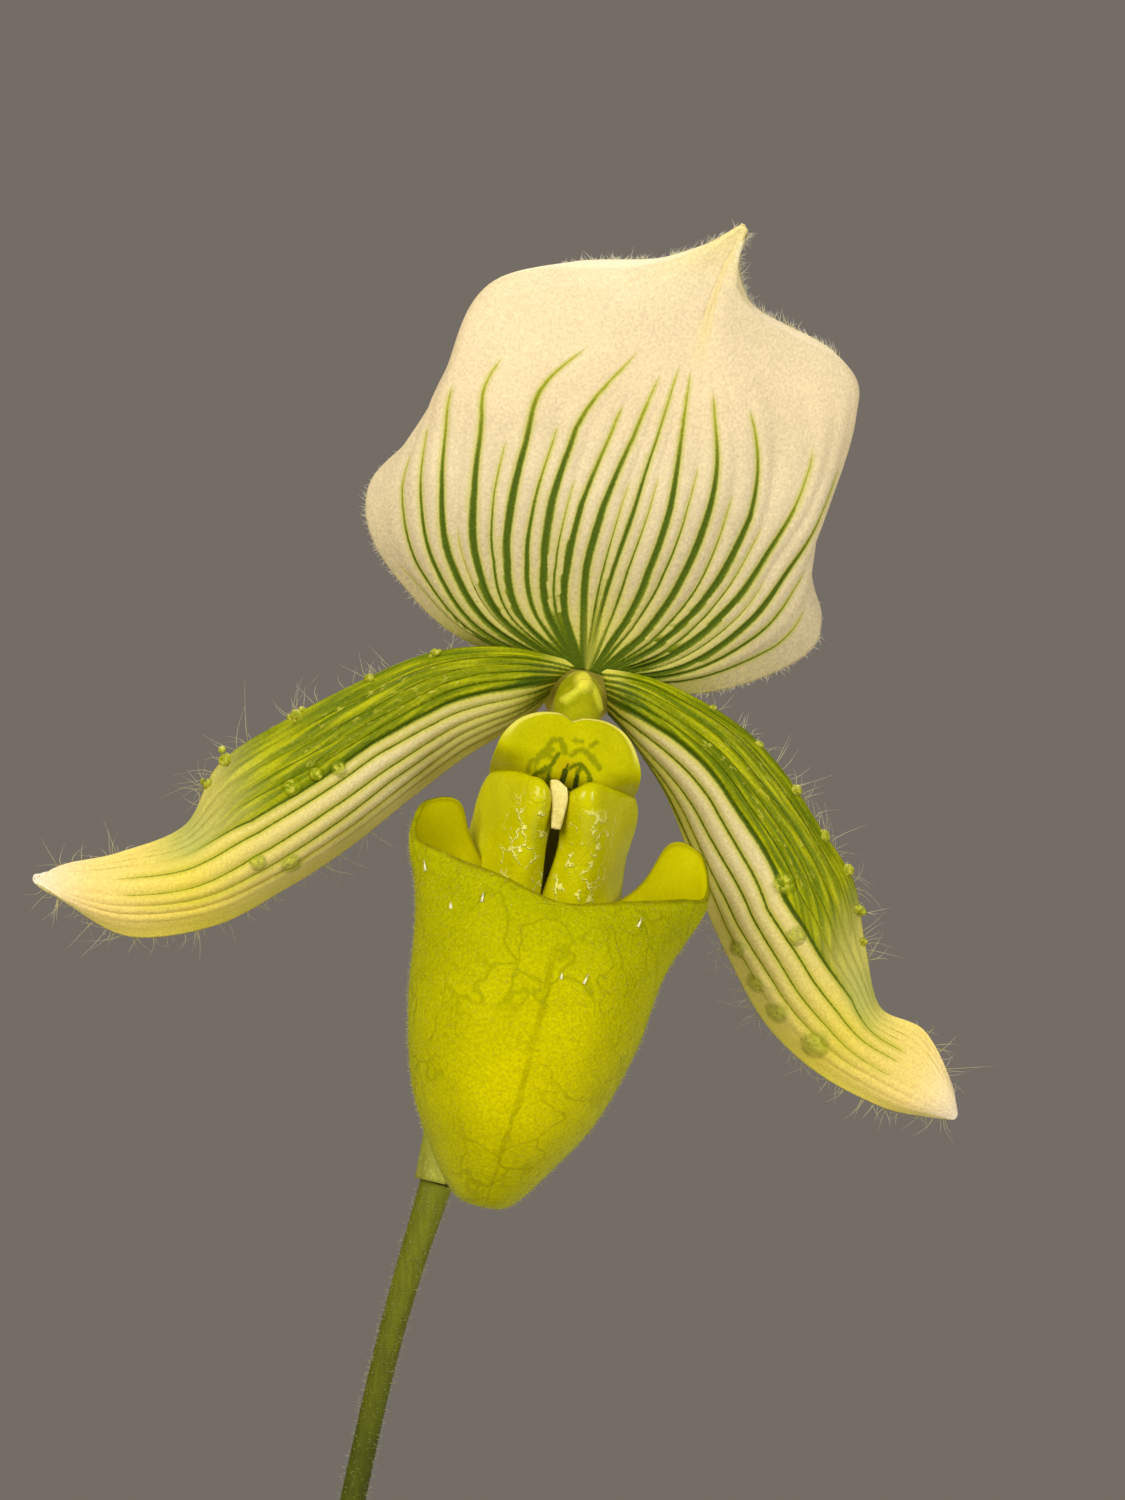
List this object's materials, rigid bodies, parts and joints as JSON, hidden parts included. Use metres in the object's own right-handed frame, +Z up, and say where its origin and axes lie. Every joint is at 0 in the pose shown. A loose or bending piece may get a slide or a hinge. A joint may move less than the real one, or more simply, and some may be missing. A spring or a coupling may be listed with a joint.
{
  "type": "potted slipper orchid",
  "caption": "Slipper orchid in flower: striped hooded sepal, drooping petals and a hollow pouch on a slim scape above mottled leaves in a plain clay pot.",
  "frame": {"origin": "middle of the pot's flat underside", "axes": "+Z up along the pot's axis, -Y the way the flower faces, +X to the viewer's right"},
  "size_m": [0.26, 0.1103, 0.3953],
  "materials": {
    "clay": "matt unglazed clay",
    "bark": "rough bark chips",
    "crown": "fibrous rootstock",
    "leaf": "satin, mottled light and dark green",
    "scape": "finely downy",
    "ovary": "ribbed and downy",
    "bract": "papery, downy",
    "dorsal_sepal": "velvety, cream with green veins",
    "synsepal": "velvety, cream with green veins",
    "petal": "velvety, green and cream stripes",
    "lip": "satin, finely veined yellow green",
    "column": "waxy"
  },
  "bodies": {
    "root": {"pot": "clay", "bark_mix": "bark", "crown": "crown", "leaf_1": "leaf", "leaf_2": "leaf", "leaf_3": "leaf", "leaf_4": "leaf", "leaf_5": "leaf", "leaf_6": "leaf", "scape": "scape", "ovary": "ovary", "bract": "bract", "dorsal_sepal": "dorsal_sepal", "synsepal": "synsepal", "petal_left": "petal", "petal_right": "petal", "lip": "lip", "column": "column"}
  },
  "joints": []
}
